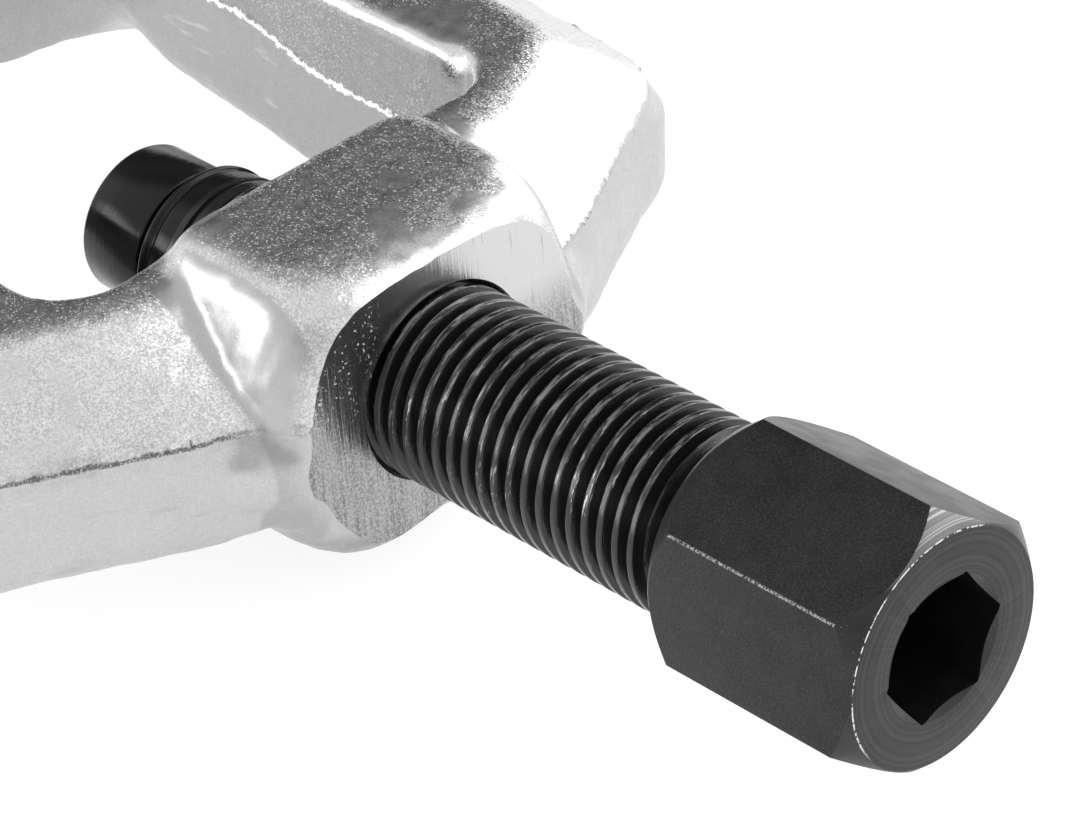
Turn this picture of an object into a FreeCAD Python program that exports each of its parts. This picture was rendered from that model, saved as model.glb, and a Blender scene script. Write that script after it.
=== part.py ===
"""Forged two-leg yoke puller with a fine-thread forcing screw.

Millimetres, +Z up. Shapes are modelled in tool coordinates: the screw axis is
the Y axis, Y = 0 is the end face of the drive head, and +Y points to the jaws.
The last step moves them into the part frame, whose origin is the centre of the
bounding box's base.
"""
import FreeCAD, Part
import math
import os

V = FreeCAD.Vector
SCREW_DIR = V(0, 1, 0)

# forcing screw: M20 x 2, 24 mm hexagon head with a hexagon socket in its end
PITCH = 2.0
CREST_R = 9.93
ROOT_R = 8.85
ROOT_FLAT = 0.35
CREST_FLAT = 0.65
HEAD_AF = 24.2
HEAD_LEN = 25.5
HEAD_FACE_R = 11.95
HEAD_CHAMFER_SLOPE = math.radians(48)
HEAD_BACK_R = 11.7
HEAD_BACK_CHAMFER = 4.2
HEAD_ROLL_DEG = 25.25
SOCKET_AF = 13.0
SOCKET_DEPTH = 14.0
SOCKET_ROLL_DEG = 5.2
NECK_R = 8.75
THREAD_START = 27.6
THREAD_END = 96.0
PILOT_R = 9.25
PILOT_START = 90.4
PILOT_END = 99.6

# swivelling thrust tip on a grooved spigot
COLLAR_R = 7.35
COLLAR_END = 100.75
SPIGOT_R = 4.9
SPIGOT_END = 106.3
TIP_R = 7.93
TIP_START = 101.05
TIP_END = 109.3
TIP_BORE_R = 5.1
TIP_BORE_END = 106.5
RING_Y = 103.2
RING_PATH_R = 5.0
RING_WIRE_R = 0.6

# forged yoke
TOP_Z = 13.0
PARTING_Z = 3.0
BOTTOM_Z = -10.5
HALF_W = 53.0
YOKE_END = 171.0
WINDOW_HALF_W = 28.0
WINDOW_START = 86.6
WINDOW_END = 156.5
JAW_GAP_HALF = 17.0
BOSS_FRONT = 64.6
BOSS_BACK = 86.6
BOSS_R = 20.6
BOSS_TOP_Z = 16.3
BOSS_TOP_HALF_W = 15.4
BOSS_SHOULDER_Z = 5.9
BOSS_FRONT_ROUND = 4.0
BORE_R = 10.0
BORE_CHAMFER = 0.4

# part frame
FRAME_SHIFT = V(0, -YOKE_END / 2, BOSS_R)


def polygon_face(points):
    """Planar face through the given points."""
    return Part.Face(Part.makePolygon(points + [points[0]]))


def revolve_profile(points):
    """Solid of revolution about the screw axis from (radius, y) points."""
    face = polygon_face([V(r, y, 0) for r, y in points])
    return face.revolve(V(0, 0, 0), SCREW_DIR, 360)


def hex_prism(across_flats, start, length, roll_deg):
    """Hexagonal prism along the screw axis with one corner rolled from +X."""
    corner_r = across_flats / math.sqrt(3)
    corners = []
    for k in range(6):
        a = math.radians(roll_deg + 60 * k)
        corners.append(V(corner_r * math.cos(a), start, corner_r * math.sin(a)))
    return polygon_face(corners).extrude(V(0, length, 0))


def inset_polygon(points, setbacks):
    """Convex polygon with each edge moved inwards by its own setback."""
    n = len(points)
    lines = []
    for k in range(n):
        x0, y0 = points[k]
        x1, y1 = points[(k + 1) % n]
        length = math.hypot(x1 - x0, y1 - y0)
        nx = -(y1 - y0) / length
        ny = (x1 - x0) / length
        lines.append((nx, ny, nx * x0 + ny * y0 + setbacks[k]))
    result = []
    for k in range(n):
        a0, b0, c0 = lines[k - 1]
        a1, b1, c1 = lines[k]
        det = a0 * b1 - a1 * b0
        result.append(((c0 * b1 - c1 * b0) / det, (a0 * c1 - a1 * c0) / det))
    return result


def slab_between(lower, z_lower, upper, z_upper):
    """Solid with planar sides between two polygons of equal vertex count."""
    wires = []
    for points, z in ((lower, z_lower), (upper, z_upper)):
        ring = [V(x, y, z) for x, y in points]
        wires.append(Part.makePolygon(ring + [ring[0]]))
    return Part.makeLoft(wires, True, True)


def rounded_box(x0, x1, y0, y1, z0, z1, radii):
    """Upright box whose four vertical edges have the radii for (y0, y1)."""
    box = Part.makeBox(x1 - x0, y1 - y0, z1 - z0, V(x0, y0, z0))
    for y, radius in zip((y0, y1), radii):
        edges = []
        for edge in box.Edges:
            ends = [vertex.Point for vertex in edge.Vertexes]
            upright = abs(ends[0].z - ends[1].z) > 1
            if upright and abs(ends[0].y - y) < 1e-6:
                edges.append(edge)
        box = box.makeFillet(radius, edges)
    return box


def frame_blank():
    """Outer block of the yoke: sloping upper faces above the parting line."""
    right = [
        (21, 68.4), (49.7, 84.6), (52.3, 94), (HALF_W, 112),
        (HALF_W, 161), (44, YOKE_END),
    ]
    left = [(-x, y) for x, y in reversed(right)]
    parting = right + left
    side_setbacks = [8.8, 12.6, 12.8, 12.8, 6]
    upper_setbacks = side_setbacks + [4] + side_setbacks[::-1] + [13.5]
    top = inset_polygon(parting, upper_setbacks)
    bottom = inset_polygon(parting, [0.6] * len(parting))
    upper = slab_between(parting, PARTING_Z, top, TOP_Z)
    lower = slab_between(bottom, BOTTOM_Z, parting, PARTING_Z)
    return upper.fuse(lower).removeSplitter()


def fillet_long_edges(shape, chosen, radius):
    """Fillet the edges for which chosen(edge) is true."""
    edges = [edge for edge in shape.Edges if chosen(edge)]
    return shape.makeFillet(radius, edges)


def level_edge(z):
    """Test for edges that lie wholly at the height z."""
    def test(edge):
        box = edge.BoundBox
        return abs(box.ZMin - z) < 1e-4 and abs(box.ZMax - z) < 1e-4
    return test


def frame_ring():
    """Blank with the working window and the jaw gap cut through it."""
    blank = frame_blank()
    low = BOTTOM_Z - 5
    high = TOP_Z + 5
    window = rounded_box(-WINDOW_HALF_W, WINDOW_HALF_W, WINDOW_START,
                         WINDOW_END, low, high, (7, 5))
    gap = Part.makeBox(2 * JAW_GAP_HALF, 60, high - low,
                       V(-JAW_GAP_HALF, WINDOW_END - 10, low))
    ring = blank.cut(window.fuse(gap).removeSplitter())
    ring = fillet_long_edges(ring, is_jaw_tip_edge, 4)
    ring = fillet_long_edges(ring, level_edge(TOP_Z), 1.6)
    return fillet_long_edges(ring, level_edge(BOTTOM_Z), 3)


def is_jaw_tip_edge(edge):
    """Upright edges at the two corners of each jaw tip."""
    box = edge.BoundBox
    upright = box.ZMax - box.ZMin > 4
    at_gap = abs(abs(box.Center.x) - JAW_GAP_HALF) < 0.5
    return upright and at_gap and box.Center.y > WINDOW_END - 1


def boss_blank():
    """Boss: half-round below, with sloping shoulders and a flat top above."""
    y = BOSS_FRONT
    arc = Part.Arc(V(-BOSS_R, y, 0), V(0, y, -BOSS_R), V(BOSS_R, y, 0)).toShape()
    ridge = [
        V(BOSS_R, y, 0), V(BOSS_R, y, BOSS_SHOULDER_Z),
        V(BOSS_TOP_HALF_W, y, BOSS_TOP_Z), V(-BOSS_TOP_HALF_W, y, BOSS_TOP_Z),
        V(-BOSS_R, y, BOSS_SHOULDER_Z), V(-BOSS_R, y, 0),
    ]
    outline = Part.Wire([arc] + list(Part.makePolygon(ridge).Edges))
    solid = Part.Face(outline).extrude(V(0, BOSS_BACK - BOSS_FRONT, 0))
    solid = fillet_long_edges(solid, is_ridge_edge, 4.0)
    return fillet_long_edges(solid, is_boss_front_edge, BOSS_FRONT_ROUND)


def is_ridge_edge(edge):
    """The two lengthwise top corners of the boss."""
    box = edge.BoundBox
    lengthwise = box.YLength > 20
    return lengthwise and abs(box.ZMin - BOSS_TOP_Z) < 1e-4


def is_boss_front_edge(edge):
    """The outline of the boss's ground front face."""
    return abs(edge.BoundBox.YMax - BOSS_FRONT) < 1e-4


def make_bore():
    """Through bore for the screw with a small countersink at both ends."""
    y0 = BOSS_FRONT
    y1 = BOSS_BACK
    wide = BORE_R + BORE_CHAMFER
    outline = [
        (0, y0 - 1), (wide + 1, y0 - 1), (BORE_R, y0 + BORE_CHAMFER),
        (BORE_R, y1 - BORE_CHAMFER), (wide + 1, y1 + 1), (0, y1 + 1),
    ]
    return revolve_profile(outline)


def make_yoke():
    """Forged yoke: two swept arms, straight legs, inturned jaws and boss."""
    return frame_ring().fuse(boss_blank()).removeSplitter().cut(make_bore())


def make_thread_groove():
    """Helical groove that turns a plain shank into the screw thread."""
    turns_length = THREAD_END - THREAD_START + 2 * PITCH
    start = THREAD_START - PITCH
    helix = Part.makeLongHelix(PITCH, turns_length, ROOT_R)
    over = 0.35
    flank = (PITCH - CREST_FLAT - ROOT_FLAT) / 2
    widen = flank / (CREST_R - ROOT_R)
    half_root = ROOT_FLAT / 2
    half_top = half_root + widen * (CREST_R - ROOT_R + over)
    profile = Part.makePolygon([
        V(ROOT_R, 0, -half_root), V(CREST_R + over, 0, -half_top),
        V(CREST_R + over, 0, half_top), V(ROOT_R, 0, half_root),
        V(ROOT_R, 0, -half_root),
    ])
    groove = Part.Wire(helix.Edges).makePipeShell([profile], True, True)
    groove.rotate(V(0, 0, 0), V(1, 0, 0), -90)
    groove.translate(V(0, start, 0))
    return groove


def make_shank():
    """Threaded shank whose crests are turned down at the leading end."""
    outline = [
        (0, THREAD_START - 1), (ROOT_R, THREAD_START - 1),
        (CREST_R, THREAD_START + 0.1), (CREST_R, PILOT_START),
        (PILOT_R, PILOT_START + 0.8), (PILOT_R, THREAD_END),
        (0, THREAD_END),
    ]
    return revolve_profile(outline).cut(make_thread_groove())


def make_drive_head():
    """Hexagon head, chamfered at both ends, with a hexagon socket."""
    prism = hex_prism(HEAD_AF, 0, HEAD_LEN, HEAD_ROLL_DEG)
    slope = math.tan(HEAD_CHAMFER_SLOPE)
    rise = (15.0 - HEAD_FACE_R) * slope
    envelope = revolve_profile([
        (0, 0), (HEAD_FACE_R, 0), (15.0, rise),
        (15.0, HEAD_LEN - HEAD_BACK_CHAMFER), (HEAD_BACK_R, HEAD_LEN),
        (0, HEAD_LEN),
    ])
    head = prism.common(envelope)
    socket = hex_prism(SOCKET_AF, -1, SOCKET_DEPTH + 1, SOCKET_ROLL_DEG)
    corner_r = SOCKET_AF / math.sqrt(3)
    countersink = revolve_profile([
        (0, -0.5), (corner_r + 0.6, -0.5), (corner_r - 1.05, 0.45), (0, 0.45),
    ])
    drill_point = revolve_profile([
        (0, SOCKET_DEPTH - 0.1), (6.0, SOCKET_DEPTH - 0.1),
        (0, SOCKET_DEPTH + 3.4),
    ])
    return head.cut(socket).cut(countersink).cut(drill_point)


def ring_groove(path_r, clearance):
    """Round annular groove around the retaining ring."""
    return Part.makeTorus(path_r, RING_WIRE_R + clearance,
                          V(0, RING_Y, 0), SCREW_DIR)


def make_forcing_screw():
    """Head, neck, thread, collar and grooved spigot in one piece."""
    neck = revolve_profile([
        (0, HEAD_LEN - 1), (11.3, HEAD_LEN - 1), (11.3, HEAD_LEN + 0.3),
        (NECK_R, HEAD_LEN + 0.9), (NECK_R, THREAD_START), (0, THREAD_START),
    ])
    nose = revolve_profile([
        (0, THREAD_END - 1), (ROOT_R, THREAD_END - 1),
        (PILOT_R, THREAD_END), (PILOT_R, PILOT_END - 0.4),
        (PILOT_R - 0.4, PILOT_END), (COLLAR_R, PILOT_END),
        (COLLAR_R, COLLAR_END), (SPIGOT_R, COLLAR_END),
        (SPIGOT_R, SPIGOT_END - 1), (SPIGOT_R - 1.6, SPIGOT_END - 0.2),
        (0, SPIGOT_END),
    ])
    screw = make_drive_head().fuse([neck, make_shank(), nose])
    screw = screw.removeSplitter()
    return screw.cut(ring_groove(RING_PATH_R, 0.08))


def make_swivel_tip():
    """Cup-shaped thrust tip that swivels on the spigot."""
    body = revolve_profile([
        (0, TIP_START), (TIP_R - 0.3, TIP_START), (TIP_R, TIP_START + 0.3),
        (TIP_R, TIP_END - 0.4), (TIP_R - 0.4, TIP_END), (0, TIP_END),
    ])
    bore = revolve_profile([
        (0, TIP_START - 1), (TIP_BORE_R, TIP_START - 1),
        (TIP_BORE_R, TIP_BORE_END), (0, TIP_BORE_END + 0.2),
    ])
    return body.cut(bore).cut(ring_groove(RING_PATH_R, 0.0))


def make_retaining_ring():
    """Split wire ring, half in the tip's groove and half in the spigot's."""
    ring = Part.makeTorus(RING_PATH_R, RING_WIRE_R, V(0, RING_Y, 0), SCREW_DIR)
    slot = Part.makeBox(8, 4, 2.4, V(0, RING_Y - 2, -1.2))
    return ring.cut(slot)


def export(name, shape):
    """Move a finished shape into the part frame and write it as STEP."""
    moved = shape.copy()
    moved.translate(FRAME_SHIFT)
    if moved.ShapeType == "Compound" and len(moved.Solids) == 1:
        moved = moved.Solids[0]
    moved.exportStep("parts/" + name + ".step")
    print(name, "solids", len(moved.Solids), "valid", moved.isValid(),
          "volume", round(moved.Volume, 1))


def main():
    os.makedirs("parts", exist_ok=True)
    export("yoke", make_yoke())
    export("forcing_screw", make_forcing_screw())
    export("swivel_tip", make_swivel_tip())
    export("tip_retaining_ring", make_retaining_ring())


main()
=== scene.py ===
"""Looks of the forged yoke puller: meshes, materials, light and camera."""
import bpy
import bmesh
import math
import numpy as np
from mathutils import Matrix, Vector


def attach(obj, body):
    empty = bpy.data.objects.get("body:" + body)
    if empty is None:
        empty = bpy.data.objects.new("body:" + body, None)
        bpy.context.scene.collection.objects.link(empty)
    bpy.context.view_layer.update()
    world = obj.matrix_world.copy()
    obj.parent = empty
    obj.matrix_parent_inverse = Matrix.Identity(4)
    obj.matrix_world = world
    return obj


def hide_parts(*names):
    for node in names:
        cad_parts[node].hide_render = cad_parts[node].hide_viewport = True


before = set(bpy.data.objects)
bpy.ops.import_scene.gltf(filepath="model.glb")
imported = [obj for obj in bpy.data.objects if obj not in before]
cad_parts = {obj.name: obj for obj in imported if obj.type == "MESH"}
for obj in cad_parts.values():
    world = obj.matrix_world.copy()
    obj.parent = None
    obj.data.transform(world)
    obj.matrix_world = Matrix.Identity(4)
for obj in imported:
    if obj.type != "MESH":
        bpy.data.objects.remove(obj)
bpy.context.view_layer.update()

# Tool coordinates are millimetres from the drive end of the screw, with the
# screw axis as Y. SHIFT moves them into the frame of the CAD part, in metres.
MM = 0.001
HEAD_END = 85.5     # distance of the drive end from the frame's origin
AXIS_Z = 20.6       # height of the screw axis above the floor
SHIFT = Vector((0.0, -HEAD_END * MM, AXIS_Z * MM))

# the forging
PART_Z = 3.0        # parting line
TOP_Z = 13.0        # top of the arms
LOW_Z = -10.5       # underside of the arms
BOSS_R = 20.6
BOSS_TOP_Z = 16.3
BOSS_TOP_HALF = 15.4
BOSS_BACK = 86.2
FACE_Y = 64.6       # ground face round the bore
BORE_R = 10.0
WINDOW_HALF = 28.0
WINDOW_MID = 121.6
WINDOW_REACH = 34.95
JAW_GAP_HALF = 17.0

# the screw
PITCH = 2.0
CREST_R = 9.93
PILOT_R = 9.25
ROOT_R = 8.85
THREAD_START = 27.6
THREAD_END = 96.0
THREAD_SEGMENTS = 144
HEAD_AF = 24.2
HEAD_LENGTH = 25.5
HEAD_ROLL = 25.25
HEAD_CORNER_R = 15.0    # just outside the hexagon's corners
FACE_R = 11.95
SOCKET_AF = 13.0
SOCKET_DEPTH = 14.0
SOCKET_ROLL = 5.2
RING_Y = 103.2
RING_R = 5.0
RING_WIRE_R = 0.57


# --------------------------------------------------------------------------
# mesh helpers
# --------------------------------------------------------------------------
def to_frame(points):
    """Tool millimetres to frame metres."""
    return np.asarray(points, float) * MM + np.array(SHIFT)


def mesh_object(name, points, faces, material, smooth=True):
    """New object from points in tool millimetres."""
    mesh = bpy.data.meshes.new(name)
    mesh.from_pydata(to_frame(points).tolist(), [], [list(f) for f in faces])
    mesh.update()
    obj = bpy.data.objects.new(name, mesh)
    bpy.context.scene.collection.objects.link(obj)
    mesh.materials.append(material)
    if smooth:
        mesh.polygons.foreach_set("use_smooth", [True] * len(mesh.polygons))
    return obj


def merge_and_orient(obj, distance=1e-6):
    """Weld coincident points and turn all faces outwards."""
    bm = bmesh.new()
    bm.from_mesh(obj.data)
    bmesh.ops.remove_doubles(bm, verts=bm.verts, dist=distance)
    bmesh.ops.dissolve_degenerate(bm, edges=bm.edges, dist=1e-8)
    bmesh.ops.recalc_face_normals(bm, faces=bm.faces)
    bm.to_mesh(obj.data)
    bm.free()


def sharpen(obj, degrees, between_materials=False):
    """Mark edges sharper than the angle so that smooth shading stops there."""
    bm = bmesh.new()
    bm.from_mesh(obj.data)
    limit = math.radians(degrees)
    for edge in bm.edges:
        if len(edge.link_faces) == 2:
            a, b = edge.link_faces
            border = between_materials and a.material_index != b.material_index
            edge.smooth = edge.calc_face_angle(0.0) < limit and not border
    for face in bm.faces:
        face.smooth = True
    bm.to_mesh(obj.data)
    bm.free()


def apply_modifiers(obj):
    """Replace the object's mesh with its modified mesh."""
    deps = bpy.context.evaluated_depsgraph_get()
    mesh = bpy.data.meshes.new_from_object(obj.evaluated_get(deps))
    old = obj.data
    obj.modifiers.clear()
    obj.data = mesh
    bpy.data.meshes.remove(old)


def boolean(obj, cutter, operation="DIFFERENCE"):
    """Exact boolean that keeps the cutter's materials and uses it up."""
    mod = obj.modifiers.new("cut", "BOOLEAN")
    mod.operation = operation
    mod.solver = "EXACT"
    mod.object = cutter
    mod.material_mode = "TRANSFER"
    apply_modifiers(obj)
    bpy.data.objects.remove(cutter, do_unlink=True)


def bevel(obj, width_mm, segments, angle):
    """Break the edges that are sharper than the angle."""
    mod = obj.modifiers.new("bevel", "BEVEL")
    mod.width = width_mm * MM
    mod.segments = segments
    mod.limit_method = "ANGLE"
    mod.angle_limit = math.radians(angle)
    mod.use_clamp_overlap = True
    apply_modifiers(obj)


def lathe(name, profile, material, segments=160):
    """Solid of revolution about the screw axis from (radius, y) points."""
    n = len(profile)
    points = []
    for i in range(segments):
        a = 2 * math.pi * i / segments
        for r, y in profile:
            points.append((r * math.cos(a), y, r * math.sin(a)))
    faces = []
    for i in range(segments):
        j = (i + 1) % segments
        for k in range(n - 1):
            faces.append((i * n + k, j * n + k, j * n + k + 1, i * n + k + 1))
    obj = mesh_object(name, points, faces, material)
    merge_and_orient(obj)
    return obj


def hex_prism(name, across_flats, y0, y1, roll_deg, material):
    """Hexagonal bar along the screw axis."""
    r = across_flats / math.sqrt(3)
    points = []
    for y in (y0, y1):
        for k in range(6):
            a = math.radians(roll_deg + 60 * k)
            points.append((r * math.cos(a), y, r * math.sin(a)))
    faces = [tuple(range(6)), tuple(range(11, 5, -1))]
    for k in range(6):
        faces.append((k, (k + 1) % 6, 6 + (k + 1) % 6, 6 + k))
    obj = mesh_object(name, points, faces, material, smooth=False)
    merge_and_orient(obj)
    return obj


# --------------------------------------------------------------------------
# materials
# --------------------------------------------------------------------------
class Nodes:
    """Short way to build a node material in object coordinates (metres)."""

    def __init__(self, name):
        self.mat = bpy.data.materials.new(name)
        self.mat.use_nodes = True
        self.tree = self.mat.node_tree
        self.bsdf = self.tree.nodes["Principled BSDF"]
        self.coord = self.add("ShaderNodeTexCoord").outputs["Object"]
        axes = self.add("ShaderNodeSeparateXYZ")
        self.link(self.coord, axes.inputs[0])
        self.x, self.y, self.z = axes.outputs
        self.height = self.math("SUBTRACT", self.z, SHIFT.z)

    def add(self, kind, **props):
        node = self.tree.nodes.new(kind)
        for key, value in props.items():
            setattr(node, key, value)
        return node

    def link(self, a, b):
        self.tree.links.new(a, b)

    def put(self, socket, value):
        """Link a socket, or set it to a constant."""
        if isinstance(value, bpy.types.NodeSocket):
            self.link(value, socket)
        else:
            socket.default_value = value

    def set(self, **values):
        """Inputs of the shader; an underscore stands for a space."""
        for key, value in values.items():
            self.put(self.bsdf.inputs[key.replace("_", " ")], value)

    def math(self, op, a, b=None, clamp=False):
        node = self.add("ShaderNodeMath", operation=op, use_clamp=clamp)
        self.put(node.inputs[0], a)
        if b is not None:
            self.put(node.inputs[1], b)
        return node.outputs[0]

    def times(self, first, *others, clamp=False):
        for other in others:
            first = self.math("MULTIPLY", first, other, clamp)
        return first

    def rest_of(self, value):
        """One minus the value."""
        return self.math("SUBTRACT", 1.0, value)

    def larger(self, a, b):
        return self.math("MAXIMUM", a, b)

    def vector(self, op, a, b):
        node = self.add("ShaderNodeVectorMath", operation=op)
        self.link(a, node.inputs[0])
        if op == "SCALE":
            self.put(node.inputs["Scale"], b)
        elif op != "NORMALIZE":
            self.put(node.inputs[1], b)
        return node.outputs[0]

    def mapping(self, scale=(1, 1, 1), rotation=(0, 0, 0)):
        node = self.add("ShaderNodeMapping")
        node.inputs["Scale"].default_value = scale
        node.inputs["Rotation"].default_value = rotation
        self.link(self.coord, node.inputs["Vector"])
        return node.outputs[0]

    def noise(self, scale, detail=2.0, rough=0.5, vector=None):
        node = self.add("ShaderNodeTexNoise")
        node.inputs["Scale"].default_value = scale
        node.inputs["Detail"].default_value = detail
        node.inputs["Roughness"].default_value = rough
        self.link(vector or self.coord, node.inputs["Vector"])
        return node.outputs["Fac"]

    def ramp(self, value, lo, hi, out_lo=0.0, out_hi=1.0):
        """Smooth step from out_lo at lo to out_hi at hi; lo may exceed hi."""
        node = self.add("ShaderNodeMapRange", interpolation_type="SMOOTHSTEP")
        self.put(node.inputs["Value"], value)
        self.put(node.inputs["From Min"], lo)
        self.put(node.inputs["From Max"], hi)
        self.put(node.inputs["To Min"], out_lo)
        self.put(node.inputs["To Max"], out_hi)
        return node.outputs["Result"]

    def mix_color(self, fac, a, b):
        node = self.add("ShaderNodeMix", data_type="RGBA")
        for socket, value in zip((0, 6, 7), (fac, a, b)):
            self.put(node.inputs[socket], value)
        return node.outputs[2]

    def bump(self, height, strength, distance_mm, normal=None):
        node = self.add("ShaderNodeBump")
        node.inputs["Strength"].default_value = strength
        node.inputs["Distance"].default_value = distance_mm * MM
        self.link(height, node.inputs["Height"])
        if normal:
            self.link(normal, node.inputs["Normal"])
        return node.outputs[0]

    def facing_up(self):
        """Upward part of the surface normal, -1..1."""
        node = self.add("ShaderNodeSeparateXYZ")
        self.link(self.add("ShaderNodeTexCoord").outputs["Normal"],
                  node.inputs[0])
        return node.outputs[2]

    def radius(self):
        """Distance from the screw axis, in metres."""
        return self.math("SQRT", self.math(
            "ADD", self.times(self.x, self.x),
            self.times(self.height, self.height)))

    def spin_depth(self):
        """Coordinates that only change with radius: marks become rings."""
        join = self.add("ShaderNodeCombineXYZ")
        self.put(join.inputs[0], self.radius())
        return join.outputs[0]

    def around(self, scale_turn, scale_along):
        """Coordinates (angle, y, radius) for marks that run round the axis."""
        angle = self.math("ARCTAN2", self.height, self.x)
        join = self.add("ShaderNodeCombineXYZ")
        self.put(join.inputs[0], self.times(angle, scale_turn))
        self.put(join.inputs[1], self.times(self.y, scale_along))
        self.put(join.inputs[2], self.times(self.radius(), scale_along))
        return join.outputs[0]


def grey(v):
    """Very slightly cool grey of the linear value v."""
    return (v, v, v * 1.005, 1.0)


class Zinc(Nodes):
    """Zinc plate over a blasted forging."""

    def __init__(self):
        super().__init__("zinc_forging")
        self.along = self.math("SUBTRACT", self.y, SHIFT.y)
        self.side = self.math("ABSOLUTE", self.x)
        self.big = self.noise(70, 3, 0.6)
        self.mid = self.noise(900, 3, 0.6)
        self.inner = self.times(self.ramp(self.side, 0.0310, 0.0300),
                                self.ramp(self.along, 0.0880, 0.0900))
        self.flash = self.ramp(self.along, 0.111, 0.127, 0.0018, 0.0051)
        self.below = self.below_seam()
        # shoulder: the boss shoulder walls; plate_colour paints shade there to
        # dim their bright reflection, and the grain is calmer there
        self.shoulder = self.times(
            self.ramp(self.side, 0.0150, 0.0156),
            self.ramp(self.side, 0.0206, 0.0200),
            self.ramp(self.along, 0.0640, 0.0665),
            self.ramp(self.along, 0.0840, 0.0820))
        # slant: faces tilted away from straight up; plate_colour paints them
        # lighter (painted light)
        self.slant = self.ramp(self.facing_up(), 0.95, 0.80)

    def distance_from(self, level, wander):
        """Height above or below a level that wanders with the noise."""
        shift = self.times(self.math("SUBTRACT", self.mid, 0.5), wander)
        return self.math("ABSOLUTE", self.math(
            "SUBTRACT", self.height, self.math("ADD", level, shift)))

    def painted_flash_highlight(self):
        """Torn line of painted highlight along the trimmed flash inside the
        window.
        """
        off = self.distance_from(self.flash, 0.0022)
        return self.times(self.inner, self.ramp(off, 0.00042, 0.00026))

    def painted_seam_shade(self):
        """Broken line of painted shade along the parting seam of the outer
        walls, strongest on one side.
        """
        off = self.distance_from(PART_Z * MM - 0.00025, 0.0006)
        fine = self.noise(5200, 2, 0.6)
        return self.times(self.ramp(off, 0.00038, 0.00014),
                          self.ramp(fine, 0.34, 0.50),
                          self.ramp(self.side, 0.018, 0.024),
                          self.ramp(self.x, 0.002, -0.002, 0.25, 1.0),
                          self.rest_of(self.inner),
                          self.ramp(self.noise(60, 2, 0.5), 0.30, 0.42))

    def below_seam(self):
        seam = self.math("ADD", self.flash,
                         self.times(self.rest_of(self.inner), 0.0011))
        return self.ramp(self.math("SUBTRACT", self.height, seam),
                         0.0006, -0.0006)

    def calmness(self):
        """Where the grain fades: low walls, shoulders and soft patches."""
        patch = self.ramp(self.noise(120, 2, 0.4), 0.54, 0.60)
        calm = self.larger(self.times(patch, 0.75),
                           self.times(self.below, 0.86))
        calm = self.larger(calm, self.times(self.shoulder, 0.9))
        return self.larger(calm, self.times(self.slant, 0.55))

    def plate_colour(self):
        """Broad tone of the plating, before grain and streaks, with painted
        light and shade mixed in.
        """
        # low: painted shade, darker towards the underside next to the floor
        low = self.ramp(self.height, -0.0100, -0.0135)
        wall = self.times(self.ramp(self.side, 0.0310, 0.0295),
                          self.ramp(self.along, 0.0880, 0.0900),
                          self.ramp(self.height, 0.0118, 0.0106))
        above = self.times(wall, self.rest_of(self.below))
        colour = self.mix_color(self.ramp(self.big, 0.35, 0.7),
                                grey(0.53), grey(0.62))
        for mask, amount, tone in (
                # painted light: slanted faces lighter than the tops
                (self.slant, 0.5, 0.70), (low, 0.8, 0.20),
                # painted shade on the boss shoulders dims their reflection
                (self.below, 0.45, 0.37), (self.shoulder, 0.6, 0.34),
                (wall, 0.40, 0.28), (above, 0.45, 0.22)):
            colour = self.mix_color(self.times(mask, amount), colour,
                                    grey(tone))
        return colour

    def streaked(self, colour):
        """Faint light and dark streaks on the walls below the seam."""
        streaks = self.noise(260, 3, 0.65,
                             self.mapping(scale=(0.35, 0.35, 1.6)))
        for lo, hi, tone in ((0.62, 0.74, 0.80), (0.38, 0.28, 0.36)):
            mask = self.times(self.below,
                              self.ramp(streaks, lo, hi, 0.0, 0.35))
            colour = self.mix_color(mask, colour, grey(tone))
        return colour


def zinc_forging():
    """Fine grain and sparks, calm below the seam, painted highlight along the
    flash and painted shade along the seam.
    """
    m = Zinc()
    calm = m.calmness()
    grit = m.add("ShaderNodeTexVoronoi")
    grit.inputs["Scale"].default_value = 6400
    m.link(m.coord, grit.inputs["Vector"])
    split = m.add("ShaderNodeSeparateColor")
    m.link(grit.outputs["Color"], split.inputs[0])

    shade = m.ramp(split.outputs[0], 0.0, 1.0, 0.62, 1.36)
    shade = m.math("ADD", m.times(shade, m.rest_of(calm)), calm)
    spark = m.times(m.ramp(split.outputs[1], 0.90, 0.95),
                    m.rest_of(m.times(calm, 1.1)), clamp=True)
    colour = m.vector("SCALE", m.plate_colour(), shade)
    colour = m.mix_color(spark, colour, grey(1.0))
    colour = m.streaked(colour)
    # painted highlight along the flash ridge inside the window
    colour = m.mix_color(m.painted_flash_highlight(), colour, grey(0.97))
    # painted shade along the parting seam, strongest on the near arm
    colour = m.mix_color(m.times(m.painted_seam_shade(), 0.9), colour, grey(0.10))

    tilt = m.vector("SUBTRACT", grit.outputs["Color"], (0.5, 0.5, 0.5))
    tilt = m.vector("SCALE", tilt, m.times(m.rest_of(calm), 0.30))
    waves = m.bump(m.big, 0.20, 0.6, m.bump(m.mid, 0.16, 0.08))
    normal = m.vector("NORMALIZE", m.vector("ADD", waves, tilt), None)
    m.set(Base_Color=colour, Normal=normal,
          Metallic=m.rest_of(m.times(spark, 0.42)),
          Roughness=m.ramp(m.mid, 0.3, 0.7, 0.27, 0.36))
    return m.mat


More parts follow.
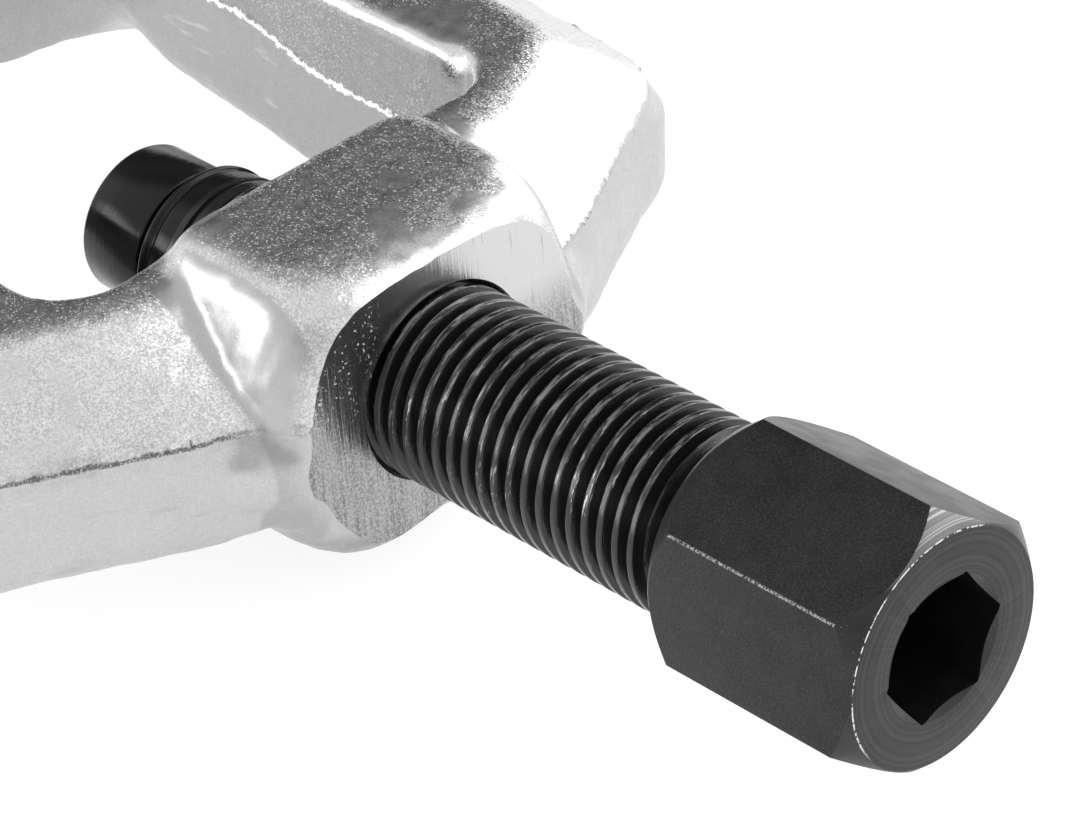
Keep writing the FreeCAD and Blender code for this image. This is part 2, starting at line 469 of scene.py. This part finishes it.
def ground_steel():
    """Plated face ground with leaning strokes; low down a painted dark
    reflection of the screw, speckled with grain.
    """
    m = Nodes("ground_face")
    lean = m.mapping(scale=(1.0, 1.0, 0.035),
                     rotation=(0, math.radians(17), 0))
    strokes = m.noise(3800, 3, 0.7, lean)
    broad = m.noise(900, 2, 0.6, lean)
    grain = m.noise(3500, 2, 0.6)
    # low: lower part of the face, where the dark reflection of the screw is
    # painted
    low = m.ramp(m.height, 0.006, -0.001)
    colour = m.mix_color(m.ramp(strokes, 0.36, 0.28), grey(0.62), grey(0.30))
    # painted dark reflection of the screw, with light grain specks
    painted_screw_reflection = m.mix_color(m.ramp(strokes, 0.42, 0.58), grey(0.08), grey(0.26))
    painted_screw_reflection = m.mix_color(m.ramp(grain, 0.44, 0.62, 0.0, 0.7), painted_screw_reflection, grey(0.48))
    colour = m.mix_color(m.times(low, 0.75), colour, painted_screw_reflection)
    dots = m.times(m.ramp(m.noise(2600, 2, 0.6), 0.58, 0.66),
                   m.ramp(strokes, 0.50, 0.60), m.rest_of(low),
                   m.ramp(m.x, -0.004, -0.011))
    colour = m.mix_color(dots, colour, grey(0.95))
    height = m.math("ADD", strokes, m.times(grain, 0.35))
    m.set(Base_Color=colour, Roughness=0.26,
          Normal=m.bump(height, 0.55, 0.06, m.bump(broad, 0.3, 0.15)),
          Metallic=m.rest_of(m.times(dots, 0.9)))
    return m.mat


class BlackSteel(Nodes):
    """Black oxide: turning marks, sandy grain and rubbed bare specks."""

    def __init__(self, name, base, rough, turned=0.0, grain=0.0, wear=0.0,
                 specular=0.5, spacing=5200, sand=0.0):
        super().__init__(name)
        self.rough = rough
        self.specular = specular
        self.cloud = self.noise(260, 3, 0.6)
        self.colour = self.mix_color(self.ramp(self.cloud, 0.3, 0.7),
                                     grey(base * 0.8), grey(base * 1.25))
        if sand:
            speck = self.noise(5200, 2, 0.7)
            self.tint(self.ramp(speck, 0.50, 0.66, 0.0, sand), base * 2.8)
            self.tint(self.ramp(speck, 0.48, 0.36, 0.0, sand), base * 0.2)
        fine = self.noise(3600, 2, 0.65)
        self.tint(self.times(self.ramp(fine, 0.64, 0.76), wear), 0.25)
        rings = self.noise(1.0, 2, 0.6, self.around(0.35, spacing))
        self.normal = self.bump(rings, turned, 0.03)
        if grain:
            self.normal = self.bump(fine, grain, 0.05, self.normal)

    def tint(self, mask, tone):
        """Lay a grey over the colour where the mask is."""
        self.colour = self.mix_color(mask, self.colour, grey(tone))

    def finish(self):
        self.set(Base_Color=self.colour, Metallic=0.35, Normal=self.normal,
                 Roughness=self.ramp(self.cloud, 0.3, 0.7, self.rough * 0.9,
                                     self.rough * 1.15),
                 Specular_IOR_Level=self.specular)
        return self.mat


def black_head():
    """Sandy black hexagon flats with one rubbed, dotted corner."""
    m = BlackSteel("black_head", 0.018, 0.36, 0.05, 0.5, 0.12,
                   specular=0.30, sand=0.5)
    corner = m.times(m.ramp(m.radius(), 0.01386, 0.01393),
                     m.ramp(m.x, -0.006, -0.009),
                     m.ramp(m.height, 0.002, 0.004))
    dots = m.ramp(m.noise(3600, 2, 0.6), 0.40, 0.56)
    m.tint(m.times(corner, dots), 0.34)
    return m.finish()


def turned_face():
    """Faced end: concentric rings, rubbed bright on part of the rim."""
    m = BlackSteel("turned_face", 0.024, 0.34, 0.0, 0.05, 0.1,
                   specular=0.36)
    rings = m.noise(2100, 1, 0.5, m.spin_depth())
    m.tint(m.ramp(rings, 0.44, 0.58, 0.0, 0.5), 0.055)
    m.normal = m.bump(rings, 0.18, 0.06, m.normal)
    rim = m.times(m.ramp(m.radius(), 0.01172, 0.01185),
                  m.ramp(m.math("SUBTRACT", m.height, m.x), 0.002, 0.008))
    dots = m.ramp(m.noise(2100, 2, 0.6), 0.42, 0.54)
    m.tint(m.times(rim, dots), 0.8)
    return m.finish()


def turned_chamfer():
    """Turned corner facets: black, with a painted highlight on the topmost
    one, streaked along the turning marks.
    """
    m = BlackSteel("turned_chamfer", 0.020, 0.32, 0.7, 0.1, 0.5,
                   spacing=4200)
    # top: painted highlight on the topmost facet
    top = m.ramp(m.height, 0.0098, 0.0112)
    streak = m.noise(5200, 3, 0.65, m.spin_depth())
    m.tint(top, 0.12)
    m.tint(m.times(top, m.ramp(streak, 0.48, 0.62)), 0.45)
    m.normal = m.bump(streak, 0.5, 0.03, m.normal)
    return m.finish()


def thread_material():
    """Black thread whose crests are rubbed to streaky bare metal, with a
    painted sheen on the crests that face upwards.
    """
    m = Nodes("black_thread")
    streak = m.noise(1.0, 3, 0.7, m.around(5.0, 3400))
    crest = m.ramp(m.radius(), 0.00974, 0.00988)
    patchy = m.times(crest, m.ramp(streak, 0.55, 0.66),
                     m.ramp(m.noise(130, 3, 0.6), 0.50, 0.62))
    # upper: painted sheen, streaky grey on the crests that face upwards
    upper = m.times(crest, m.ramp(m.facing_up(), 0.55, 0.90),
                    m.ramp(streak, 0.46, 0.60, 0.0, 0.55))
    # rubbed crests (real wear) together with the painted sheen
    wear_and_sheen = m.larger(patchy, upper)
    m.set(Base_Color=m.mix_color(wear_and_sheen, grey(0.006), grey(0.40)),
          Normal=m.bump(streak, 0.6, 0.05), Metallic=m.times(wear_and_sheen, 0.9),
          Roughness=m.ramp(streak, 0.3, 0.7, 0.10, 0.24),
          Specular_IOR_Level=0.55)
    return m.mat


def floor_material():
    """Nearly white floor that is lit a little from within."""
    m = Nodes("pale_floor")
    tone = m.ramp(m.noise(3, 3, 0.5), 0.3, 0.7)
    m.set(Base_Color=m.mix_color(tone, grey(0.38), grey(0.42)),
          Emission_Color=m.mix_color(tone, grey(0.97), grey(1.0)),
          Roughness=0.9, Emission_Strength=0.80, Specular_IOR_Level=0.0)
    return m.mat


# --------------------------------------------------------------------------
# the forging, as a distance field turned into a mesh
# --------------------------------------------------------------------------
def smin(a, b, k):
    """Minimum with a smooth blend of width k."""
    h = np.maximum(k - np.abs(a - b), 0.0) / k
    return np.minimum(a, b) - h * h * k * 0.25


def smax(a, b, k):
    """Maximum with a smooth blend of width k."""
    return -smin(-a, -b, k)


def ramp01(v, lo, hi):
    """Smooth step from 0 at lo to 1 at hi; lo may exceed hi."""
    t = np.clip((v - lo) / (hi - lo), 0.0, 1.0)
    return t * t * (3 - 2 * t)


def wobble(x, y, z, scale, seed):
    """Cheap smooth noise in about -1..1 with the given feature size."""
    rng = np.random.default_rng(seed)
    total = np.zeros_like(x)
    for _ in range(7):
        d = rng.normal(size=3)
        d *= rng.uniform(0.6, 1.7) / np.linalg.norm(d)
        w = 2 * math.pi / scale
        total += np.sin((x * d[0] + y * d[1] + z * d[2]) * w
                        + rng.uniform(0, 6.28))
    return total / 3.2


# walls of the right half, seen from above: start, end, setback at the top
WALLS = [
    ((0, 68.4), (21, 68.4), 13.5),
    ((21, 68.4), (49.7, 84.6), 8.8),
    ((49.7, 84.6), (52.3, 94), 12.6),
    ((52.3, 94), (53, 112), 12.8),
    ((53, 112), (53, 161), 12.8),
    ((53, 161), (44, 171), 5.0),
    ((44, 171), (0, 171), 4.0),
]


def arms_field(x, y, z):
    """Two arms and legs without the boss."""
    ax = np.abs(x)
    elbow = np.exp(-((ax - 49.5) ** 2 + (y - 85.0) ** 2) / 50.0)
    bulge = (0.45 + 0.9 * elbow) * ramp01(PART_Z - z, 0.0, 4.0)
    upper = None
    lower = None
    for (x0, y0), (x1, y1), setback in WALLS:
        length = math.hypot(x1 - x0, y1 - y0)
        nx = (y1 - y0) / length
        ny = -(x1 - x0) / length
        plan = nx * (ax - x0) + ny * (y - y0)
        slope = setback / (TOP_Z - PART_Z)
        up = (plan + slope * (z - PART_Z)) / math.hypot(1, slope)
        down = plan + 0.045 * (PART_Z - z) - bulge
        upper = up if upper is None else smax(upper, up, 3.0)
        lower = down if lower is None else smax(lower, down, 4.0)
    outer = smax(upper, lower, 1.2)
    outer = smax(outer, z - TOP_Z, 1.6)
    outer = smax(outer, LOW_Z - z, 3.6)

    r = np.where(x > 0, 4.5, 6.5)
    qx = ax - (WINDOW_HALF - r)
    qy = np.abs(y - WINDOW_MID) - (WINDOW_REACH - r)
    window = (np.hypot(np.maximum(qx, 0), np.maximum(qy, 0))
              + np.minimum(np.maximum(qx, qy), 0) - r)
    gap = np.maximum(ax - JAW_GAP_HALF, 140.0 - y)
    void = smin(window, gap, 6.0)
    # the lower inner edge is rounder along the legs than at the jaws
    leg = np.clip((y - 115.5) * 0.27, 0.0, 8.0) * ramp01(y, 158.5, 150.0)
    leg = leg + 3.2 * np.exp(-((y - 148.0) / 5.0) ** 2)
    low_round = 2.0 + leg * ramp01(ax, 25.0, 28.5)
    soft = ramp01(z, -4.0, 6.0)
    corner = np.exp(-((x - WINDOW_HALF) ** 2 + (y - 91.4) ** 2) / 4.0)
    high_round = 2.2 + 2.2 * corner
    return smax(outer, -void, low_round * (1 - soft) + high_round * soft)


def boss_field(x, y, z):
    """Boss: half-round below, sloping shoulders above, rounded front."""
    ax = np.abs(x)
    shoulder = (ax - BOSS_TOP_HALF - 0.5 * (BOSS_TOP_Z - z)) / 1.118
    sides = smax(shoulder, ax - BOSS_R, 4.0)
    front = smax(sides, 62.2 - y, 11.0)
    upper = smax(front, smax(z - BOSS_TOP_Z, 60.7 - y, 12.0), 3.5)
    base = ramp01(-z - 0.8 * ax, 5.0, 16.0)
    lower = smax(np.hypot(ax, z) - BOSS_R, 62.5 + 0.9 * base - y,
                 11.0 + 5.0 * base)
    mix = ramp01(z + 0.12 * x, -5.0, 3.0)
    boss = lower * (1 - mix) + upper * mix
    return smax(boss, y - BOSS_BACK, 4.0)


def flash_height(x, y):
    """Height of the ragged parting line, in tool coordinates."""
    inner = (np.abs(x) < 31.0) & (y > 88.0)
    rise = 1.8 + 3.3 * ramp01(y, 111.0, 127.0)
    return np.where(inner, rise, PART_Z) + 0.2 * wobble(x, y, 0 * x, 5.0, 5)


def yoke_field(x, y, z, detail=True):
    """Whole forging; detail adds the flash ridge and an uneven skin."""
    body = arms_field(x, y, z)
    join = 1.4 + 5.6 * ramp01(z, 4.0, -3.0) * (1 - ramp01(z, -4.0, -8.0))
    body = smin(body, boss_field(x, y, z), join)
    if detail:
        flash = wobble(x, y, z, 7.0, 3) + 0.7 * wobble(x, y, z, 2.0, 4)
        ridge = np.exp(-((z - flash_height(x, y)) / 0.34) ** 2)
        height = np.clip(0.20 + 0.20 * flash, 0.02, 0.6)
        body = body - ridge * height
        body = body + 0.05 * wobble(x, y, z, 17.0, 6)
        body = body + 0.03 * wobble(x, y, z, 3.1, 7)
    return body


def surface_nets(field, low, high, step):
    """Closed quad mesh of the zero level of field on a regular grid."""
    axes = [np.arange(a, b + step, step, dtype=np.float32)
            for a, b in zip(low, high)]
    gx, gy, gz = np.meshgrid(*axes, indexing="ij")
    f = field(gx, gy, gz, False)
    inside = f < 0
    nx, ny, nz = f.shape
    count = np.zeros((nx - 1, ny - 1, nz - 1), np.int8)
    for dx in (0, 1):
        for dy in (0, 1):
            for dz in (0, 1):
                count += inside[dx:nx - 1 + dx, dy:ny - 1 + dy,
                                dz:nz - 1 + dz]
    active = (count > 0) & (count < 8)
    cells = np.argwhere(active)
    index = np.full(active.shape, -1, np.int64)
    index[tuple(cells.T)] = np.arange(len(cells))
    corners = np.array([(a, b, c) for a in (0, 1) for b in (0, 1)
                        for c in (0, 1)])
    total = np.zeros((len(cells), 3))
    hits = np.zeros(len(cells))
    for p in corners:
        for axis in range(3):
            if p[axis]:
                continue
            q = p.copy()
            q[axis] = 1
            fa = f[tuple((cells + p).T)]
            fb = f[tuple((cells + q).T)]
            cross = (fa < 0) != (fb < 0)
            t = np.where(cross, fa / np.where(cross, fa - fb, 1), 0)
            point = cells + p + t[:, None] * (q - p)
            total += point * cross[:, None]
            hits += cross
    points = np.array(low) + step * total / hits[:, None]
    faces = []
    for axis in range(3):
        a1, a2 = (axis + 1) % 3, (axis + 2) % 3
        lo = [slice(None)] * 3
        hi = [slice(None)] * 3
        lo[axis] = slice(0, -1)
        hi[axis] = slice(1, None)
        cross = np.argwhere(inside[tuple(lo)] != inside[tuple(hi)])
        keep = ((cross[:, a1] > 0) & (cross[:, a2] > 0)
                & (cross[:, a1] < f.shape[a1] - 1)
                & (cross[:, a2] < f.shape[a2] - 1))
        cross = cross[keep]
        ring = []
        for s1, s2 in ((-1, -1), (0, -1), (0, 0), (-1, 0)):
            c = cross.copy()
            c[:, a1] += s1
            c[:, a2] += s2
            ring.append(index[tuple(c.T)])
        quad = np.stack(ring, 1)
        solid_first = inside[tuple(cross.T)]
        quad[~solid_first] = quad[~solid_first][:, ::-1]
        faces.append(quad)
    return points, np.concatenate(faces)


def settle(points, field, step, rounds=4):
    """Slide mesh points onto the exact zero level of the field."""
    p = points.copy()
    e = 0.05
    for _ in range(rounds):
        x, y, z = p.T
        f = field(x, y, z)
        g = np.stack([field(x + e, y, z) - field(x - e, y, z),
                      field(x, y + e, z) - field(x, y - e, z),
                      field(x, y, z + e) - field(x, y, z - e)], 1) / (2 * e)
        move = -f[:, None] * g / np.maximum((g * g).sum(1), 0.2)[:, None]
        p += np.clip(move, -0.5 * step, 0.5 * step)
    return p


def make_yoke():
    """Forging with the bore and the ground front face cut into it."""
    step = 0.45
    points, faces = surface_nets(yoke_field, (-54, 60.5, -22.5),
                                 (54, 173, 18), step)
    points = settle(points, yoke_field, step)
    yoke = mesh_object("forged_yoke", points, faces, MAT["zinc"])
    cutter = lathe("front_cut", [
        (0, 50), (40, 50), (40, FACE_Y), (BORE_R + 0.4, FACE_Y),
        (BORE_R, FACE_Y + 0.4), (BORE_R, BOSS_BACK),
        (BORE_R + 0.6, BOSS_BACK + 0.6), (BORE_R + 0.6, 90), (0, 90)],
        MAT["ground"], 192)
    boolean(yoke, cutter)
    sharpen(yoke, 32, between_materials=True)
    return yoke


# --------------------------------------------------------------------------
# the screw
# --------------------------------------------------------------------------
def thread_profile():
    """(offset within one pitch, radius) points of the thread form."""
    pts = []
    root, crest = 0.175, 0.325
    pts += [(-root, ROOT_R + 0.02), (root, ROOT_R + 0.02)]
    start = PITCH / 2 - crest
    for t in (0.33, 0.66, 0.86):
        pts.append((root + (start - root) * t,
                    ROOT_R + (CREST_R - ROOT_R) * t))
    pts += [(start - 0.03, CREST_R - 0.06), (start + 0.03, CREST_R - 0.012),
            (start + 0.12, CREST_R)]
    mirrored = [(PITCH - o, r) for o, r in reversed(pts[1:])]
    return pts + mirrored[:-1]


def make_thread(start, end, turns_segments):
    """Helical thread, turned down to the collar at its inner end."""
    profile = thread_profile()
    m = len(profile)
    turns = int(math.ceil((end - start) / PITCH)) + 2
    offsets = np.array([PITCH * k + o for k in range(turns)
                        for o, _ in profile])
    radii = np.array([r for _ in range(turns) for _, r in profile])
    count = len(offsets)
    points = np.zeros((turns_segments, count, 3))
    for i in range(turns_segments):
        a = 2 * math.pi * i / turns_segments
        y = start - PITCH + offsets + PITCH * i / turns_segments
        lead = CREST_R - (CREST_R - PILOT_R) * ramp01(y, 92.6, 93.3)
        run = np.clip(ROOT_R + (y - start) * 1.1, ROOT_R - 0.1, CREST_R)
        r = np.minimum(np.minimum(radii, lead), run)
        y = np.clip(y, start, end)
        points[i, :, 0] = r * math.cos(-a)
        points[i, :, 1] = y
        points[i, :, 2] = r * math.sin(-a)
    faces = []
    for i in range(turns_segments):
        j = (i + 1) % turns_segments
        jump = m if j == 0 else 0
        for k in range(count - 1 - jump):
            faces.append((i * count + k, i * count + k + 1,
                          j * count + k + 1 + jump, j * count + k + jump))
    obj = mesh_object("screw_thread", points.reshape(-1, 3), faces,
                      MAT["thread"])
    merge_and_orient(obj, 2e-6)
    sharpen(obj, 40)
    return obj


def make_head():
    """Chamfered hexagon head with a hexagon socket."""
    head = hex_prism("screw_head", HEAD_AF, -1, HEAD_LENGTH + 1, HEAD_ROLL,
                     MAT["head"])
    rise = (HEAD_CORNER_R - FACE_R) * math.tan(math.radians(48))
    envelope = lathe("envelope", [
        (0, 0), (FACE_R, 0), (HEAD_CORNER_R, rise), (HEAD_CORNER_R, 21.3),
        (11.7, HEAD_LENGTH), (0, HEAD_LENGTH)], MAT["face"], 240)
    envelope.data.materials.append(MAT["chamfer"])
    for poly in envelope.data.polygons:
        y = poly.center.y / MM + HEAD_END
        if 0.05 < y < 5 or 20 < y < HEAD_LENGTH - 0.1:
            poly.material_index = 1
    boolean(head, envelope, "INTERSECT")
    boolean(head, hex_prism("socket", SOCKET_AF, -2, SOCKET_DEPTH,
                            SOCKET_ROLL, MAT["socket"]))
    corner = SOCKET_AF / math.sqrt(3)
    sink = lathe("sink", [(0, -0.5), (corner + 0.6, -0.5),
                          (corner - 1.05, 0.45), (0, 0.45)],
                 MAT["chamfer"], 160)
    boolean(head, sink)
    bevel(head, 0.12, 2, 24)
    sharpen(head, 14)
    return head


def make_neck():
    """Washer-like step and run-out neck behind the head."""
    return lathe("screw_neck", [
        (0, 25.3), (11.1, 25.3), (11.3, 25.55), (11.0, 25.95), (9.5, 26.15),
        (8.85, 26.4), (8.7, 26.8), (8.72, 27.65), (0, 27.65)],
        MAT["neck"], 200)


def make_nose():
    """Collar, groove and spigot at the inner end of the thread."""
    return lathe("screw_nose", [
        (0, 95.6), (8.9, 95.6), (9.05, 96.0), (9.05, 96.3), (9.05, 97.9),
        (9.0, 98.2), (8.75, 98.35), (8.75, 98.75), (9.0, 98.9),
        (9.2, 99.05), (9.16, 99.35), (8.9, 99.6), (7.6, 99.75), (7.35, 99.95),
        (7.35, 100.6), (7.2, 100.75), (4.9, 100.75), (4.9, 105.3),
        (3.3, 106.1), (0, 106.3)], MAT["tip"], 200)


def make_tip():
    """Plain swivelling thrust tip, hollow for the spigot."""
    return lathe("swivel_tip_body", [
        (5.1, 101.05), (7.6, 101.05), (7.82, 101.12), (7.93, 101.35),
        (7.93, 108.9), (7.82, 109.16), (7.5, 109.3), (0.4, 109.3),
        (0, 109.25), (0, 106.6), (5.1, 106.5), (5.1, 103.75), (5.6, 103.5),
        (5.6, 102.9), (5.1, 102.65), (5.1, 101.05)], MAT["tip"], 200)


def make_ring():
    """Split wire ring that holds the tip on its spigot."""
    points = []
    faces = []
    n, m = 120, 14
    gap = math.radians(14)
    for i in range(n + 1):
        a = gap + (2 * math.pi - 2 * gap) * i / n
        for j in range(m):
            b = 2 * math.pi * j / m
            r = RING_R + RING_WIRE_R * math.cos(b)
            points.append((r * math.cos(a),
                           RING_Y + RING_WIRE_R * math.sin(b),
                           r * math.sin(a)))
    for i in range(n):
        for j in range(m):
            k = (j + 1) % m
            faces.append((i * m + j, i * m + k, (i + 1) * m + k,
                          (i + 1) * m + j))
    faces.append(tuple(range(m)))
    faces.append(tuple(n * m + j for j in reversed(range(m))))
    obj = mesh_object("retaining_ring_wire", points, faces, MAT["spring"])
    merge_and_orient(obj)
    return obj


# --------------------------------------------------------------------------
# light, floor and camera
# --------------------------------------------------------------------------
def softbox(name, direction, distance, size, power):
    """Rectangular lamp that faces the origin from the given direction."""
    light = bpy.data.lights.new(name, "AREA")
    light.shape = "RECTANGLE"
    light.size = size[0]
    light.size_y = size[1]
    light.energy = power
    obj = bpy.data.objects.new(name, light)
    bpy.context.scene.collection.objects.link(obj)
    d = Vector(direction).normalized()
    obj.location = d * distance
    obj.rotation_euler = d.to_track_quat("Z", "Y").to_euler()


def make_world():
    """White studio with a dark flag beyond and a dim patch in front."""
    world = bpy.data.worlds.new("studio")
    bpy.context.scene.world = world
    world.use_nodes = True
    tree = world.node_tree
    background = tree.nodes["Background"]
    coord = tree.nodes.new("ShaderNodeTexCoord")

    def patch(direction, inner, outer, level):
        toward = tree.nodes.new("ShaderNodeVectorMath")
        toward.operation = "DOT_PRODUCT"
        toward.inputs[1].default_value = Vector(direction).normalized()
        fade = tree.nodes.new("ShaderNodeMapRange")
        fade.interpolation_type = "SMOOTHSTEP"
        fade.inputs["From Min"].default_value = math.cos(math.radians(outer))
        fade.inputs["From Max"].default_value = math.cos(math.radians(inner))
        fade.inputs["To Min"].default_value = 1.0
        fade.inputs["To Max"].default_value = level
        tree.links.new(coord.outputs["Generated"], toward.inputs[0])
        tree.links.new(toward.outputs["Value"], fade.inputs["Value"])
        return fade.outputs["Result"]

    def times(a, b):
        node = tree.nodes.new("ShaderNodeMath")
        node.operation = "MULTIPLY"
        tree.links.new(a, node.inputs[0])
        tree.links.new(b, node.inputs[1])
        return node.outputs[0]

    shade = times(patch((0.547, 0.615, 0.567), 26, 46, 0.26),
                  patch((0.60, 0.78, 0.10), 12, 34, 0.3))
    shade = times(shade, patch((-0.60, -0.76, 0.22), 10, 34, 0.66))
    tree.links.new(shade, background.inputs["Color"])
    background.inputs["Strength"].default_value = 0.98


def make_floor():
    """Wide floor just under the part."""
    bpy.ops.mesh.primitive_grid_add(x_subdivisions=8, y_subdivisions=8,
                                    size=8.0)
    floor = bpy.context.object
    floor.name = "floor"
    floor.location.z = -0.0005
    floor.data.materials.append(floor_material())


def make_camera():
    """Camera at the photograph's viewing angle."""
    data = bpy.data.cameras.new("camera")
    data.sensor_width = 36.0
    data.lens = 181.8
    data.clip_start = 0.05
    data.clip_end = 50
    camera = bpy.data.objects.new("camera", data)
    bpy.context.scene.collection.objects.link(camera)
    camera.location = (-0.28103, -0.35013, 0.31447)
    camera.rotation_euler = (math.radians(55.3644), math.radians(3.5929),
                             math.radians(-44.1351))
    bpy.context.scene.camera = camera


MAT = {
    "zinc": zinc_forging(),
    "ground": ground_steel(),
    "head": black_head(),
    "face": turned_face(),
    "chamfer": turned_chamfer(),
    "socket": BlackSteel("black_socket", 0.010, 0.30, 0.1, 0.3,
                         0.1).finish(),
    "thread": thread_material(),
    "neck": BlackSteel("black_neck", 0.014, 0.16, 0.5, 0.0, 0.1).finish(),
    "tip": BlackSteel("black_tip", 0.006, 0.14, 1.0, specular=0.4,
                      spacing=4200).finish(),
    "spring": BlackSteel("spring_wire", 0.10, 0.25, 0.3, 0.0, 0.2).finish(),
}

yoke = make_yoke()
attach(yoke, "frame")
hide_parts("yoke")

for piece in (make_head(), make_neck(),
              make_thread(THREAD_START, THREAD_END, THREAD_SEGMENTS),
              make_nose()):
    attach(piece, "screw")
    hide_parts("forcing_screw")

tip = make_tip()
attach(tip, "tip")
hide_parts("swivel_tip")
ring = make_ring()
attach(ring, "tip")
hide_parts("tip_retaining_ring")

make_floor()
make_world()
softbox("key", (0.64, -0.50, 0.60), 1.3, (0.9, 0.7), 4.5)
softbox("right", (1.0, 0.05, 0.30), 1.4, (1.2, 0.9), 6)
softbox("left", (-0.76, 0.60, 0.20), 1.3, (1.0, 0.6), 6.5)
make_camera()
bpy.context.scene.view_settings.view_transform = "Standard"
